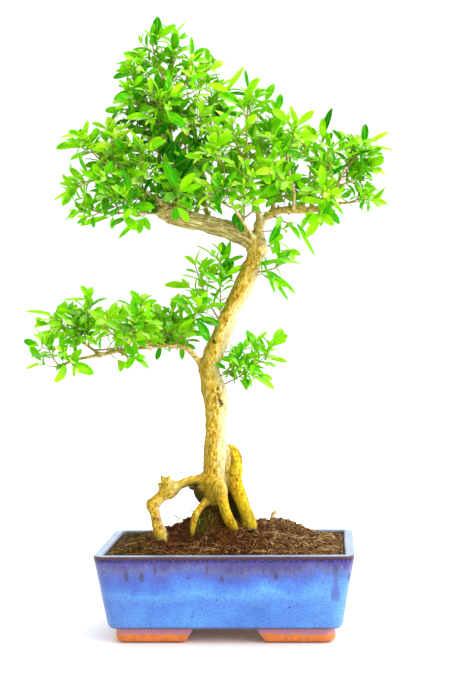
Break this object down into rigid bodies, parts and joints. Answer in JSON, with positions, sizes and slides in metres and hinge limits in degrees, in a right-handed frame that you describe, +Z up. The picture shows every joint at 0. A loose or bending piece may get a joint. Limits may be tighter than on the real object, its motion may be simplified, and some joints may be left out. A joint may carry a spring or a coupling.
{
  "type": "serissa bonsai",
  "caption": "Bonsai tree with a curved bare trunk, arched raised roots and tufts of narrow green leaves, growing in a blue glazed rectangular pot on corner feet.",
  "frame": {"origin": "middle of the bottom of the whole part, on the surface that it stands on", "axes": "+Z up along the trunk; -Y out of the long front side of the pot that the picture shows; +X to the right seen from there"},
  "size_m": [0.2934, 0.1498, 0.4858],
  "materials": {
    "glaze": "gloss",
    "netting": "matte",
    "soil": "matte",
    "bark": "matte",
    "leaf": "satin"
  },
  "bodies": {
    "root": {"drain_net_left": "netting", "drain_net_right": "netting", "pot": "glaze", "shoot_leader_1": "leaf", "shoot_leader_10": "leaf", "shoot_leader_2": "leaf", "shoot_leader_3": "leaf", "shoot_leader_4": "leaf", "shoot_leader_5": "leaf", "shoot_leader_6": "leaf", "shoot_leader_7": "leaf", "shoot_leader_8": "leaf", "shoot_leader_9": "leaf", "shoot_left_1": "leaf", "shoot_left_2": "leaf", "shoot_left_3": "leaf", "shoot_left_4": "leaf", "shoot_left_5": "leaf", "shoot_left_6": "leaf", "shoot_left_7": "leaf", "shoot_left_8": "leaf", "shoot_middle_1": "leaf", "shoot_middle_2": "leaf", "shoot_middle_3": "leaf", "shoot_middle_4": "leaf", "shoot_middle_5": "leaf", "shoot_middle_6": "leaf", "shoot_middle_7": "leaf", "shoot_middle_8": "leaf", "shoot_pad_1": "leaf", "shoot_pad_10": "leaf", "shoot_pad_2": "leaf", "shoot_pad_3": "leaf", "shoot_pad_4": "leaf", "shoot_pad_5": "leaf", "shoot_pad_6": "leaf", "shoot_pad_7": "leaf", "shoot_pad_8": "leaf", "shoot_pad_9": "leaf", "shoot_right_1": "leaf", "shoot_right_10": "leaf", "shoot_right_11": "leaf", "shoot_right_12": "leaf", "shoot_right_13": "leaf", "shoot_right_2": "leaf", "shoot_right_3": "leaf", "shoot_right_4": "leaf", "shoot_right_5": "leaf", "shoot_right_6": "leaf", "shoot_right_7": "leaf", "shoot_right_8": "leaf", "shoot_right_9": "leaf", "shoot_sprig_1": "leaf", "shoot_sprig_2": "leaf", "shoot_sprig_3": "leaf", "shoot_sprig_4": "leaf", "shoot_sprig_5": "leaf", "shoot_sprig_6": "leaf", "soil": "soil", "tree": "bark"}
  },
  "joints": []
}
